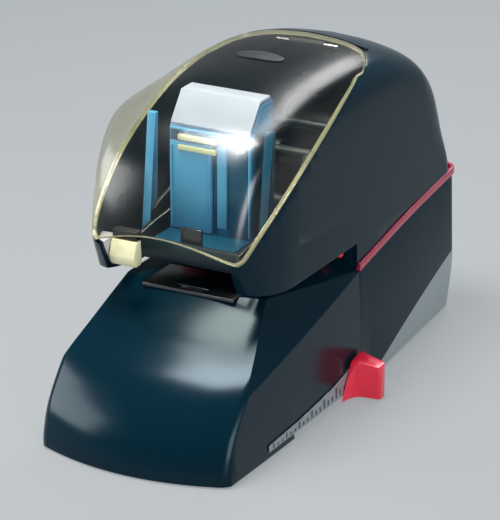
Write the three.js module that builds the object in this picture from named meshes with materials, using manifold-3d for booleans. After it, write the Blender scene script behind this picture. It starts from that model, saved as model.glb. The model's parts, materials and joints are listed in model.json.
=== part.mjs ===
// A desktop electric stapler with its housings, covers, C-frame, gear train, driver, clincher and
// paper-depth slide, as separate named meshes. Millimetres, +Z up, the nose points to -Y.
// The origin is the centre of the bottom of the bounding box.
import * as THREE from "three";
import { mergeVertices } from "three/addons/utils/BufferGeometryUtils.js";
import Module from "manifold-3d";

const wasm = await Module();
wasm.setup();

// ---------------------------------------------------------------- driving dimensions
const WALL = 2.6; // thickness of the moulded shells
const GAP = 0.4; // clearance kept between neighbouring pieces
const FAR = 240; // further out than any part of the machine

const BASE_EDGE_Z = 1; // lower rim of the base housing, held off the table by the feet
const TABLE_Z = 82.5; // paper table
const ROOF_Z = 89.6; // underside of the head over the throat
const THROAT_BACK_Y = 13.5; // front face of the wall that closes the throat
const THROAT_WALL = 2.5;
const BAND_HEIGHT = 4.6; // red accent band on the parting line
const BAND_PROUD = 0.9;
const HALF_WIDTH = 60; // half-width of the front slope's bow, at its foot

const PLATE_X = 35; // inner face of the C-frame's side plates
const PLATE = 2.5; // thickness of those plates
const ARM_X = 31; // inner face of the two drive arms
const ARM = 2.5;

const MODULE = 1.5; // gear module
const PINION_TEETH = 10;
const WHEEL_TEETH = 30;
const GEAR_DISTANCE = (MODULE * (PINION_TEETH + WHEEL_TEETH)) / 2;
const GEAR_WIDTH = 4.4;
const LAYER_ONE_X = 39; // inner face of the first gear layer
const LAYER_TWO_X = 44.4; // inner face of the second gear layer
const GEAR_RISE = 10.8; // height of the idler above the motor and crank axes

const MOTOR = { y: 118, z: 118 };
const GEAR_RUN = Math.sqrt(GEAR_DISTANCE ** 2 - GEAR_RISE ** 2);
const IDLER = { y: MOTOR.y - GEAR_RUN, z: MOTOR.z + GEAR_RISE };
const CRANK = { y: IDLER.y - GEAR_RUN, z: MOTOR.z };
const ARM_PIVOT = { y: 14, z: 108 };
const COVER_HINGE = { y: 65, z: 188.2 };

const STOP_Y = 7.5; // middle of the paper stop at its deepest setting
const SLIDE_FORWARD = 65; // how far the depth slide comes forward
const SLIDE_BACK = 2.5; // play behind the deepest mark
const RAIL = { x: 50, z: 16 }; // guide rod of the depth slide

const CASSETTE_HALF = 26;
const STAPLE_Y = -73; // line on which staples are driven

// ---------------------------------------------------------------- solids and geometry
const vector = (x, y, z) => new THREE.Vector3(x, y, z);
const X = vector(1, 0, 0);
const Y = vector(0, 1, 0);
const Z = vector(0, 0, 1);

// A closed three.js geometry as a manifold solid with its faces pointing out.
function solid(geometry) {
  const bare = geometry.clone();
  bare.deleteAttribute("normal");
  bare.deleteAttribute("uv");
  const merged = mergeVertices(bare, 1e-4);
  const triangles = new Uint32Array(merged.index.array);
  const build = () =>
    new wasm.Manifold(
      new wasm.Mesh({
        numProp: 3,
        vertProperties: merged.attributes.position.array,
        triVerts: triangles,
      }),
    );
  const made = build();
  if (made.volume() > 0) return made;
  for (let i = 0; i < triangles.length; i += 3) {
    [triangles[i], triangles[i + 1]] = [triangles[i + 1], triangles[i]];
  }
  return build();
}

// A manifold solid as a flat-shaded three.js geometry.
function geometryOf(body) {
  const mesh = body.getMesh();
  const geometry = new THREE.BufferGeometry();
  geometry.setAttribute("position", new THREE.BufferAttribute(mesh.vertProperties.slice(), 3));
  geometry.setIndex(new THREE.BufferAttribute(mesh.triVerts.slice(), 1));
  geometry.computeVertexNormals();
  return geometry;
}

const join = (...bodies) => bodies.reduce((sum, body) => sum.add(body));
const cut = (body, ...tools) => tools.reduce((rest, tool) => rest.subtract(tool), body);

// A box given by its low and high corners.
function box([x0, y0, z0], [x1, y1, z1]) {
  const geometry = new THREE.BoxGeometry(x1 - x0, y1 - y0, z1 - z0);
  geometry.translate((x0 + x1) / 2, (y0 + y1) / 2, (z0 + z1) / 2);
  return solid(geometry);
}

// A box that is symmetric about the centre plane.
const centredBox = (half, y, z) => box([-half, y[0], z[0]], [half, y[1], z[1]]);

const mirrorX = (body) => solid(geometryOf(body).scale(-1, 1, 1));

// An outline extruded along an axis. The outline is drawn in (y, z), (x, z) or (x, y).
const FRAMES = {
  x: new THREE.Matrix4().makeBasis(Y, Z, X),
  y: new THREE.Matrix4().makeBasis(X, Z, Y.clone().negate()),
  z: new THREE.Matrix4(),
};

function extrude(axis, outline, low, high) {
  const shape = new THREE.Shape(outline.map(([a, b]) => new THREE.Vector2(a, b)));
  const geometry = new THREE.ExtrudeGeometry(shape, { depth: high - low, bevelEnabled: false });
  geometry.translate(0, 0, axis === "y" ? -high : low);
  geometry.applyMatrix4(FRAMES[axis]);
  return solid(geometry);
}

// A round bar along an axis, centred on (a, b) of the other two axes in X, Y, Z order.
function bar(axis, a, b, radius, low, high, sides = 24) {
  const geometry = new THREE.CylinderGeometry(radius, radius, high - low, sides);
  const middle = (low + high) / 2;
  if (axis === "x") {
    geometry.rotateZ(Math.PI / 2);
    geometry.translate(middle, a, b);
  } else if (axis === "y") {
    geometry.translate(a, middle, b);
  } else {
    geometry.rotateX(Math.PI / 2);
    geometry.translate(a, b, middle);
  }
  return solid(geometry);
}

// Points along a smooth curve through the given ones.
function smooth(points, steps) {
  const curve = new THREE.SplineCurve(points.map(([a, b]) => new THREE.Vector2(a, b)));
  return curve.getPoints(steps).map((p) => [p.x, p.y]);
}

// A skin through rings of equal length. Each end is a pole, or is closed across its ring, whose
// corners then lie in one plane of constant x or z.
function loft(rings, poles, flat) {
  const count = rings[0].length;
  const points = rings.flat();
  const index = [];
  for (let r = 0; r + 1 < rings.length; r += 1) {
    for (let i = 0; i < count; i += 1) {
      const a = r * count + i;
      const b = r * count + ((i + 1) % count);
      index.push(a, b, b + count, a, b + count, a + count);
    }
  }
  const last = (rings.length - 1) * count;
  if (poles) {
    const first = points.push(poles[0]) - 1;
    const end = points.push(poles[1]) - 1;
    for (let i = 0; i < count; i += 1) {
      const next = (i + 1) % count;
      index.push(first, next, i, end, last + i, last + next);
    }
  } else {
    const outline = rings[0].map(flat);
    const turns = THREE.ShapeUtils.area(outline) > 0;
    THREE.ShapeUtils.triangulateShape(outline, []).forEach((corners) => {
      const [a, b, c] = corners;
      const same = THREE.ShapeUtils.area([outline[a], outline[b], outline[c]]) > 0 === turns;
      const [p, q] = same ? [b, c] : [c, b];
      index.push(a, q, p, last + a, last + p, last + q);
    });
  }
  const geometry = new THREE.BufferGeometry();
  geometry.setAttribute(
    "position",
    new THREE.Float32BufferAttribute(points.flatMap((p) => p.toArray()), 3),
  );
  geometry.setIndex(index);
  return solid(geometry);
}

// Everything on the far side of a plane through a point, as a large block.
function beyond(normal, point) {
  const direction = normal.clone().normalize();
  const geometry = new THREE.BoxGeometry(2 * FAR, 2 * FAR, FAR);
  geometry.translate(0, 0, FAR / 2);
  geometry.applyQuaternion(new THREE.Quaternion().setFromUnitVectors(Z, direction));
  geometry.translate(point.x, point.y, point.z);
  return solid(geometry);
}

// A spur gear blank with straight-flanked teeth about an axis along X.
function gear(teeth, { y, z }, low, high, turn) {
  const pitch = (MODULE * teeth) / 2;
  const outline = [];
  const flanks = [
    [-0.36, pitch - 1.2 * MODULE],
    [-0.1, pitch + 0.9 * MODULE],
    [0.1, pitch + 0.9 * MODULE],
    [0.36, pitch - 1.2 * MODULE],
  ];
  for (let tooth = 0; tooth < teeth; tooth += 1) {
    flanks.forEach(([share, radius]) => {
      const angle = turn + ((tooth + share) * 2 * Math.PI) / teeth;
      outline.push([y + radius * Math.cos(angle), z + radius * Math.sin(angle)]);
    });
  }
  return extrude("x", outline, low, high);
}

// ---------------------------------------------------------------- base outer form
// Half-width of the base at a height: bowed in plan, leaning in a little as it rises.
const baseHalf = (y, z) => 61.6 - 0.0001 * (y + 10) ** 2 - 0.03 * z;

// Middle line of the front slope, from its foot to the edge of the paper table, as (y, z).
const FRONT_SLOPE = [
  [-152.6, BASE_EDGE_Z],
  [-152, 8],
  [-147.5, 22],
  [-138, 36],
  [-126, 48.5],
  [-106.5, 61.5],
  [-87, 75],
  [-75, TABLE_Z],
];
const REAR_Y = 154.6;
const FRONT_CORNER = 6;
const REAR_CORNER = 7;

// How far the front slope falls back from its middle line at a distance x from the centre.
function frontBow(x, z) {
  const bow = 13 * (x / HALF_WIDTH) ** 2;
  const into = Math.min(Math.max(Math.abs(x) - (HALF_WIDTH + 1 - FRONT_CORNER), 0), FRONT_CORNER);
  return bow + FRONT_CORNER - Math.sqrt(FRONT_CORNER ** 2 - into ** 2);
}

// Height of the parting line behind the throat: the lower edge of the red band.
const PARTING = smooth([[-10, 65.5], [17, 72], [80, 82.6], [128, 88], [170, 91.5]], 12);

// The parting line shifted up, as an outline that holds everything below it.
const belowParting = (rise) => [
  ...PARTING.map(([y, z]) => [y, z + rise]),
  [170, -10],
  [-10, -10],
];

function planOutline(z, inset) {
  const right = [];
  const rear = REAR_Y - inset;
  for (let step = 0; step <= 12; step += 1) {
    const y = -156 + (step * (rear - REAR_CORNER + 156)) / 12;
    right.push(vector(baseHalf(y, z) - inset, y, z));
  }
  for (let step = 1; step <= 4; step += 1) {
    const angle = (step * Math.PI) / 8;
    const y = rear - REAR_CORNER + REAR_CORNER * Math.sin(angle);
    const half = baseHalf(y, z) - inset - REAR_CORNER * (1 - Math.cos(angle));
    right.push(vector(half, y, z));
  }
  const left = right.map((p) => vector(-p.x, p.y, z)).reverse();
  return [...right, ...left];
}

// The upright prism that follows the plan of the base.
const planPrism = (inset) =>
  loft([planOutline(-10, inset), planOutline(110, inset)], null, (p) => new THREE.Vector2(p.x, p.y));

// Corner points that fix the sloping planes of the base's right side.
const SIDE_LINE_FRONT = vector(58.2, -112, 47.8);
const SIDE_LINE_BACK = vector(59.4, 17, 72.4);
const TABLE_CORNER = vector(44.6, -66, TABLE_Z);
const TABLE_INNER = vector(43, 17, TABLE_Z);
const UNDERCUT = [vector(60.2, 45, 0), vector(52, REAR_Y, 0), vector(57.6, REAR_Y, 42.5)];

function planeThrough(a, b, c) {
  const normal = b.clone().sub(a).cross(c.clone().sub(a)).normalize();
  return normal.x < 0 ? normal.negate() : normal;
}

// The base as a full block, its whole skin moved inwards by inset.
function baseBlock(inset) {
  const stations = [0, 20, 36, 46, 51, 54, 57, 59.2, 70];
  const across = [...stations.slice(1).reverse().map((x) => -x), ...stations];
  const front = smooth(FRONT_SLOPE, 14);
  const rings = across.map((x) => {
    const slope = front.map(([y, z], i) => {
      const before = front[Math.max(i - 1, 0)];
      const after = front[Math.min(i + 1, front.length - 1)];
      const length = Math.hypot(after[0] - before[0], after[1] - before[1]);
      const back = (inset * (after[1] - before[1])) / length;
      const down = (inset * (after[0] - before[0])) / length;
      return vector(x, y + back + frontBow(x, z), z - down);
    });
    slope[0].z = BASE_EDGE_Z - (inset ? 5 : 0);
    slope[slope.length - 1].z = TABLE_Z - inset;
    const top = [vector(x, 17, TABLE_Z - inset), vector(x, 17, 110), vector(x, REAR_Y - inset, 110)];
    return [...slope, ...top, vector(x, REAR_Y - inset, slope[0].z)];
  });
  const body = loft(rings, null, (p) => new THREE.Vector2(p.y, p.z)).intersect(planPrism(inset));
  const planes = [
    [planeThrough(SIDE_LINE_FRONT, SIDE_LINE_BACK, TABLE_CORNER), SIDE_LINE_FRONT],
    [planeThrough(TABLE_CORNER, SIDE_LINE_BACK, TABLE_INNER), TABLE_CORNER],
    [planeThrough(...UNDERCUT), UNDERCUT[0]],
  ];
  const throatOnly = box([-FAR, -FAR, -FAR], [FAR, 17, FAR]);
  const sides = planes.map(([normal, point], i) => {
    const face = beyond(normal, point.clone().addScaledVector(normal, -inset));
    return i < 2 ? face.intersect(throatOnly) : face;
  });
  return cut(body, ...sides, ...sides.map(mirrorX));
}

// ---------------------------------------------------------------- head outer form
// Middle line of the head from under the nose, over the crown, to the foot at the rear.
const HEAD_LINE = [
  [-97, 88],
  [-103, 100],
  [-109, 112],
  [-111.5, 121],
  [-109.5, 134],
  [-103.5, 150],
  [-92, 168],
  [-71, 183.6],
  [-36, 192.4],
  [7, 196],
  [47, 196],
  [80, 191.2],
  [110, 180.6],
  [130.5, 165],
  [142, 145.5],
  [148, 121],
  [150.8, 98],
  [151.4, 70],
];
const HEAD_FOOT = [[151.4, 30], [40, 30], [-80, 30], [-92, 70]];
const SPINE = [-55, 110, 106]; // the core that the skin is pulled towards: y from, y to, z

const headHalf = (y, z) => {
  const nose = Math.max(0, -45 - y) / 58;
  return 58.4 - 0.0001 * (y - 30) ** 2 - 8 * nose ** 2 - 0.02 * (z - 90);
};

// The crown and shoulder of the head: share of the half-width, and how far the skin has come in.
const RIB = [
  [0, 0],
  [0.34, 0.9],
  [0.6, 2.9],
  [0.77, 5.4],
  [0.88, 8.6],
  [0.95, 12.8],
  [0.988, 18.5],
  [1, 26],
];
const SIDE_SHARES = [0.3, 0.62, 0.9]; // rings on the side wall, as shares of the way to the core

const ease = (t) => {
  const held = Math.min(Math.max(t, 0), 1);
  return held * held * (3 - 2 * held);
};

// The skin comes in less on the short nose and at the foot of the rear than on the crown.
const inwardShare = ([y, z]) =>
  (0.68 + 0.67 * ease((y + 74) / 58)) * (y < 100 ? 1 : 0.3 + 0.7 * ease((z - 88) / 75));

function towardSpine([y, z], distance) {
  const coreY = Math.min(Math.max(y, SPINE[0]), SPINE[1]);
  const length = Math.hypot(coreY - y, SPINE[2] - z);
  return [y + ((coreY - y) * distance) / length, z + ((SPINE[2] - z) * distance) / length];
}

// The head as a full body, its whole skin moved inwards by inset.
function headBody(inset) {
  const outline = [...smooth(HEAD_LINE, 30), ...HEAD_FOOT];
  const ring = (share, depth, shrink) =>
    outline.map((point) => {
      const start = towardSpine(point, inset + depth * inwardShare(point));
      const coreY = Math.min(Math.max(start[0], SPINE[0]), SPINE[1]);
      const y = start[0] + (coreY - start[0]) * shrink;
      const z = start[1] + (SPINE[2] - start[1]) * shrink;
      return vector(share * (headHalf(y, z) - inset), y, z);
    });
  const half = [
    ...RIB.map(([share, depth]) => [share, depth, 0]),
    ...SIDE_SHARES.map((shrink) => [1, RIB[RIB.length - 1][1], shrink]),
  ];
  const across = [...half.slice(1).reverse().map(([s, d, k]) => [-s, d, k]), ...half];
  const pole = vector(headHalf(30, SPINE[2]) - inset, 30, SPINE[2]);
  return loft(
    across.map(([share, depth, shrink]) => ring(share, depth, shrink)),
    [vector(-pole.x, pole.y, pole.z), pole],
  );
}

// The seam of the front cover: up the sides as (y, z), then across the crown as y against x.
const SEAM = smooth([[-112, 106], [-103.3, 112.8], [-86.6, 128], [-51.7, 151], [-3, 174], [30, 184.5]], 16);
const CROWN_SEAM_Y = 66.4;

const crownSeamY = (x) => CROWN_SEAM_Y - 37 * (x / 52) ** 6;

function crownSeam(extra) {
  const points = [];
  for (let x = -56; x <= 56; x += 4) {
    points.push([x, crownSeamY(x) + extra]);
  }
  return points;
}

// Height of the crown's skin above the cover's hinge axis, at a distance x from the centre.
function crownHeight(x) {
  const { y } = COVER_HINGE;
  const line = smooth(HEAD_LINE, 60);
  const next = line.findIndex((p, i) => i > 0 && p[0] > y && line[i - 1][0] <= y);
  const [low, high] = [line[next - 1], line[next]];
  const middle = low[1] + ((high[1] - low[1]) * (y - low[0])) / (high[0] - low[0]);
  const share = Math.abs(x) / headHalf(y, middle);
  const step = RIB.findIndex((r) => r[0] > share);
  const [inner, outer] = [RIB[step - 1], RIB[step]];
  const depth = inner[1] + ((outer[1] - inner[1]) * (share - inner[0])) / (outer[0] - inner[0]);
  return middle - depth * inwardShare([y, middle]);
}

// The space in front of and above the seam, grown by the given clearance.
function coverRegion(grow) {
  const above = [
    ...SEAM.map(([y, z]) => [y, z - grow]),
    [90, 185 - grow],
    [90, FAR],
    [-140, FAR],
    [-140, 100],
  ];
  const plan = [...crownSeam(grow), [70, 5], [70, -140], [-70, -140], [-70, 5]];
  return extrude("x", above, -80, 80).intersect(extrude("z", plan, 90, 230));
}

// Under the arched lower edge of the front cover.
function underArch(rise) {
  const arch = [];
  for (let x = -64; x <= 64; x += 8) {
    arch.push([x, 124.5 + rise - 11 * (x / 45) ** 2]);
  }
  return extrude("y", [...arch, [64, 60], [-64, 60]], -140, -98);
}

// Underside of the head over the throat: level, then rising to the nose.
const ROOF = [-130, -96, -84, -72, -60].map((y) => [y, ROOF_Z + 0.0042 * (y + 60) ** 2]);

function belowHead(rise, throatEnd) {
  return extrude(
    "x",
    [
      ...ROOF.map(([y, z]) => [y, z + rise]),
      [throatEnd, ROOF_Z + rise],
      [throatEnd, 0],
      [-130, 0],
    ],
    -80,
    80,
  );
}

// ---------------------------------------------------------------- materials
const finish = (color, roughness, metalness = 0) => ({ color, roughness, metalness });
const FINISHES = {
  black: finish(0x0b1418, 0.32),
  darkBlack: finish(0x0a0f11, 0.6),
  smoke: { ...finish(0x8a8a70, 0.1), transparent: true, opacity: 0.35 },
  red: finish(0xd2203c, 0.35),
  blue: finish(0x2f6f95, 0.3),
  paleBlue: finish(0x7aa3bd, 0.35),
  ivory: finish(0xd8d2a4, 0.5),
  paleGrey: finish(0xa9a8ad, 0.5),
  white: finish(0xe2e2f0, 0.5),
  steel: finish(0xa6a9ad, 0.35, 1),
  darkSteel: finish(0x33383b, 0.45, 0.8),
  brass: finish(0xb08a45, 0.35, 1),
  gearPlastic: finish(0xd9d6c8, 0.5),
  copper: finish(0x9a5a2c, 0.45, 0.6),
  board: finish(0x1d5a38, 0.5),
  rubber: finish(0x141414, 0.9),
  scale: finish(0xa5aaaf, 0.35, 0.7),
};

const machine = new THREE.Group();

function place(name, body, look, parent = machine) {
  const mesh = new THREE.Mesh(geometryOf(body), new THREE.MeshStandardMaterial(FINISHES[look]));
  mesh.name = name;
  parent.add(mesh);
  return mesh;
}

const bothSides = (name, body, look) => {
  place(`${name}_right`, body, look);
  place(`${name}_left`, mirrorX(body), look);
};

// ---------------------------------------------------------------- housings
const headOuter = headBody(0);
const headInner = headBody(WALL);
const coverSpace = coverRegion(0);

const SWITCH = { x: 24, z: 31, half: [10.5, 7.5] };
const INLET = { x: -26, z: 31, half: [12, 9] };
const NECK_Z = [1.6, 3.6]; // the slide's neck passes through the side slot between these heights
const POST_X = [41, 44.2]; // the stop's post passes through the table between these

function baseHousing() {
  const upTo = extrude("x", belowParting(-0.2), -80, 80);
  const front = box([-FAR, -FAR, -FAR], [FAR, 17, TABLE_Z + 1]);
  const shell = cut(baseBlock(0), baseBlock(WALL)).intersect(join(upTo, front));
  const wallTop = ROOF_Z - GAP;
  const throatWall = centredBox(53, [THROAT_BACK_Y, THROAT_BACK_Y + THROAT_WALL], [70, wallTop]);
  const closing = throatWall.intersect(planPrism(1));
  const window = ({ x, z, half }) =>
    box([x - half[0], REAR_Y - 8, z - half[1]], [x + half[0], REAR_Y + 8, z + half[1]]);
  const neckSlot = box([50, STOP_Y - SLIDE_FORWARD - 9, -1], [70, STOP_Y + SLIDE_BACK + 9, 4.2]);
  const postSlot = box(
    [POST_X[0] - 0.7, STOP_Y - SLIDE_FORWARD - 3.2, 60],
    [POST_X[1] + 0.7, THROAT_BACK_Y - 0.3, 100],
  );
  const clinchWindow = centredBox(29.5, [-90, -46], [TABLE_Z - 7, 95]);
  const holes = [window(SWITCH), window(INLET), neckSlot, postSlot, clinchWindow];
  return cut(join(shell, closing), ...holes);
}

function accentBand() {
  const strip = extrude("x", belowParting(BAND_HEIGHT), -80, 80);
  const under = extrude("x", belowParting(0.1), -80, 80);
  const behindThroat = box([-FAR, 17.2, 0], [FAR, FAR, FAR]);
  return cut(planPrism(-BAND_PROUD), planPrism(1.8)).intersect(cut(strip, under)).intersect(behindThroat);
}

// The room in which the crown edge of the front cover turns: round the hinge axis, and as wide at
// each x as the edge's outer corner needs.
function hingeClearance() {
  const [half, step, corners] = [39, 3, 28];
  const rings = [];
  for (let x = -half; x <= half; x += step) {
    const reach = Math.hypot(crownSeamY(x) - COVER_HINGE.y, crownHeight(x) - COVER_HINGE.z);
    const radius = Math.abs(x) === half ? 1.2 : reach + 0.5;
    const ring = [];
    for (let corner = 0; corner < corners; corner += 1) {
      const angle = (corner * 2 * Math.PI) / corners;
      const [dy, dz] = [radius * Math.cos(angle), radius * Math.sin(angle)];
      ring.push(vector(x, COVER_HINGE.y + dy, COVER_HINGE.z + dz));
    }
    rings.push(ring);
  }
  return loft(rings, null, (p) => new THREE.Vector2(p.y, p.z));
}

function rearShell() {
  const hollow = cut(headInner, belowHead(WALL, THROAT_BACK_Y - GAP));
  const parting = extrude("x", belowParting(BAND_HEIGHT + 0.3), -80, 80);
  const mouth = centredBox(38.6, [-130, -46], [80, 130]);
  const front = centredBox(41, [-130, -80], [80, 126]);
  return cut(
    headOuter,
    hollow,
    belowHead(0, 16.4),
    parting,
    mouth,
    front,
    coverRegion(0.5),
    hingeClearance(),
  );
}

function frontCover() {
  const skin = cut(headOuter, headInner).intersect(coverSpace);
  const knuckle = (low, high) => bar("x", COVER_HINGE.y, COVER_HINGE.z, 3.1, low, high);
  const web = (low, high) =>
    box([low, COVER_HINGE.y - 9.4, COVER_HINGE.z - 2.8], [high, COVER_HINGE.y, COVER_HINGE.z + 3.4]);
  const knuckles = [[12, 20], [-20, -12]].flatMap(([low, high]) => [
    knuckle(low, high),
    web(low, high),
  ]);
  const bore = bar("x", COVER_HINGE.y, COVER_HINGE.z, 1.35, -21, 21);
  return cut(join(skin, ...knuckles), underArch(0), bore);
}

place("base_housing", baseHousing(), "black");
place("accent_band", accentBand(), "red");
place("rear_shell", rearShell(), "black");
place("front_cover", frontCover(), "smoke");

// Oval finger pad on the crown of the front cover.
const PAD = { y: 7, half: [15, 6] };
const padOval = new THREE.CylinderGeometry(1, 1, 60, 28);
padOval.rotateX(Math.PI / 2);
padOval.scale(PAD.half[0], PAD.half[1], 1);
padOval.translate(0, PAD.y, 190);
place("cover_finger_pad", cut(headBody(-0.9).intersect(solid(padOval)), headBody(-0.3)), "darkBlack");

// The bottom plate, its feet and the chassis cross members under the frame.
const PLATE_Z = [2.4, 4];
const bottomOutline = planOutline(0, WALL + GAP + 0.6).map((p) => [p.x, Math.max(p.y, -130)]);
const bottomCut = beyond(planeThrough(...UNDERCUT), UNDERCUT[0].clone().add(vector(-3.8, 0, 0)));
const neckNotch = box([51.5, STOP_Y - SLIDE_FORWARD - 9, 0], [70, STOP_Y + SLIDE_BACK + 9, 10]);
place(
  "bottom_plate",
  cut(extrude("z", bottomOutline, ...PLATE_Z), bottomCut, mirrorX(bottomCut), neckNotch),
  "darkSteel",
);
const FOOT = { x: 40, y: [-112, 128], radius: 8, height: PLATE_Z[0] - 0.3 };
["front", "rear"].forEach((end, i) => {
  bothSides(`foot_${end}`, bar("z", FOOT.x, FOOT.y[i], FOOT.radius, 0, FOOT.height, 20), "rubber");
});
const CROSS_Z = [PLATE_Z[1] + 0.3, 13.7];
place("frame_cross_front", centredBox(PLATE_X + PLATE, [-58, -46], CROSS_Z), "steel");
place("frame_cross_rear", centredBox(PLATE_X + PLATE, [100, 112], CROSS_Z), "steel");

// Light grey nose cheeks behind the shell's front corners.
const cheekSpace = box([40.6, -112, 98.5], [60, -86, 112.4]);
bothSides("nose_guard", headBody(WALL + 0.35).intersect(cheekSpace), "paleGrey");

// ---------------------------------------------------------------- C-frame
const FRAME_OUTLINE = [
  [-66, 14],
  [128, 14],
  [128, 146],
  [-8, 146],
  [-18, 128],
  [-44, 121],
  [-58, 116],
  [-58, 97],
  [24, 97],
  [24, 69.5],
  [-66, 69.5],
];
const framePlate = cut(
  extrude("x", FRAME_OUTLINE, PLATE_X, PLATE_X + PLATE),
  bar("x", MOTOR.y, MOTOR.z, 2.8, 30, 40, 16),
  bar("x", CRANK.y, CRANK.z, 5.5, 30, 40),
);
bothSides("frame_plate", framePlate, "darkSteel");

const betweenPlates = (y, z, radius) => bar("x", y, z, radius, 0.3 - PLATE_X, PLATE_X - 0.3, 16);
const SPACERS = { front: [-54, 30], rear: [118, 40], top: [16, 138] };
Object.entries(SPACERS).forEach(([where, [y, z]]) => {
  place(`frame_spacer_${where}`, betweenPlates(y, z, 3.5), "steel");
});
place("arm_pivot_shaft", betweenPlates(ARM_PIVOT.y, ARM_PIVOT.z, 4), "steel");
place("idler_axle", bar("x", IDLER.y, IDLER.z, 3, PLATE_X + PLATE + 0.3, 50, 16), "steel");

// ---------------------------------------------------------------- drive
place("motor_can", bar("x", MOTOR.y, MOTOR.z, 18, -34.6, 20, 32), "steel");
place(
  "motor_flange",
  cut(bar("x", MOTOR.y, MOTOR.z, 15, 20.3, PLATE_X - 0.3), bar("x", MOTOR.y, MOTOR.z, 5, 15, 40, 16)),
  "darkSteel",
);

const towardIdler = Math.atan2(IDLER.z - MOTOR.z, IDLER.y - MOTOR.y);
const towardMotor = towardIdler + Math.PI;
const towardCrank = Math.atan2(CRANK.z - IDLER.z, CRANK.y - IDLER.y);
const halfTooth = (teeth) => Math.PI / teeth;

place(
  "motor_pinion",
  join(
    bar("x", MOTOR.y, MOTOR.z, 2, 20.6, LAYER_ONE_X + 0.5, 16),
    gear(PINION_TEETH, MOTOR, LAYER_ONE_X, LAYER_ONE_X + GEAR_WIDTH, towardIdler),
  ),
  "brass",
);

function idlerGear() {
  const wheelTurn = towardMotor + halfTooth(WHEEL_TEETH);
  const wheel = gear(WHEEL_TEETH, IDLER, LAYER_ONE_X, LAYER_ONE_X + GEAR_WIDTH, wheelTurn);
  const hub = bar("x", IDLER.y, IDLER.z, 5.5, LAYER_ONE_X, LAYER_TWO_X + GEAR_WIDTH);
  const pinion = gear(PINION_TEETH, IDLER, LAYER_TWO_X, LAYER_TWO_X + GEAR_WIDTH, towardCrank);
  return cut(join(wheel, hub, pinion), bar("x", IDLER.y, IDLER.z, 3.3, 30, 60, 16));
}
place("idler_gear", idlerGear(), "gearPlastic");

const crankTurn = towardCrank + Math.PI + halfTooth(WHEEL_TEETH);
place(
  "crank_gear",
  cut(
    gear(WHEEL_TEETH, CRANK, LAYER_TWO_X, LAYER_TWO_X + GEAR_WIDTH, crankTurn),
    bar("x", CRANK.y, CRANK.z, 5.1, 30, 60, 16),
  ),
  "gearPlastic",
);
const CAM = { radius: 12, offset: 3 };
place(
  "cam_shaft",
  join(
    bar("x", CRANK.y, CRANK.z, 4.8, -39.5, LAYER_TWO_X + GEAR_WIDTH, 20),
    bar("x", CRANK.y, CRANK.z - CAM.offset, CAM.radius, 14, 20, 28),
    bar("x", CRANK.y, CRANK.z - CAM.offset, CAM.radius, -20, -14, 28),
  ),
  "steel",
);

// The drive arms rock on their shaft: the yoke at the front goes down as the follower is lifted.
const ARM_OUTLINE = [
  [-79, 100.5],
  [-79, 110],
  [-60, 113],
  [6, 118],
  [50, 146],
  [70, 146],
  [70, 136],
  [54, 133.6],
  [26, 102],
  [8, 99.5],
  [-60, 100.5],
];
const driveArm = cut(
  extrude("x", ARM_OUTLINE, ARM_X, ARM_X + ARM),
  bar("x", ARM_PIVOT.y, ARM_PIVOT.z, 4.3, 30, 40),
);
bothSides("drive_arm", driveArm, "steel");
place("drive_yoke", centredBox(ARM_X - 0.3, [-79, -75.6], [98.5, 110]), "darkSteel");
place("cam_follower", bar("x", CRANK.y, 139, 3, 0.3 - ARM_X, ARM_X - 0.3, 20), "steel");
place("driver_blade", box([-6.6, STAPLE_Y - 0.9, 97.5], [6.6, STAPLE_Y + 0.9, 118]), "steel");

// ---------------------------------------------------------------- cassette
const CASSETTE_SIDE = [
  [-51, 96],
  [-51, 168.5],
  [-39, 183.8],
  [-26, 183.8],
  [-26, 96],
];
place("cassette_body", extrude("x", CASSETTE_SIDE, -CASSETTE_HALF, CASSETTE_HALF), "blue");
const LABEL_SIDE = [
  [-51.2, 169.2],
  [-51.9, 170.4],
  [-39.5, 186.4],
  [-27.5, 186.4],
  [-27.5, 184.2],
  [-39.2, 184.2],
];
place("cassette_label", extrude("x", LABEL_SIDE, 1 - CASSETTE_HALF, CASSETTE_HALF - 1), "white");
place("cassette_panel", box([-25, -53, 108.5], [1.4, -51.3, 160]), "paleBlue");
place("cassette_nose", centredBox(25.6, [-71.6, -51.3], [95.6, 108]), "blue");
const RAIL_SIDE = [[-61, 98], [-52.3, 174], [-49, 174], [-51, 123], [-58.6, 117], [-58.6, 98]];
bothSides("cassette_rail", extrude("x", RAIL_SIDE, 34.6, 39.6), "paleBlue");
const LATCH = { y: -22, z: 150 };
const LATCH_SIDE = [
  [-24.6, 147],
  [-18.5, 147],
  [-19.5, 170],
  [-14, 173],
  [-14.6, 175.4],
  [-25, 172.4],
];
place(
  "cassette_latch",
  cut(extrude("x", LATCH_SIDE, -9, 9), bar("x", LATCH.y, LATCH.z, 1.8, -12, 12, 16)),
  "red",
);
place("latch_pin", bar("x", LATCH.y, LATCH.z, 1.5, -14, 14, 16), "steel");

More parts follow.
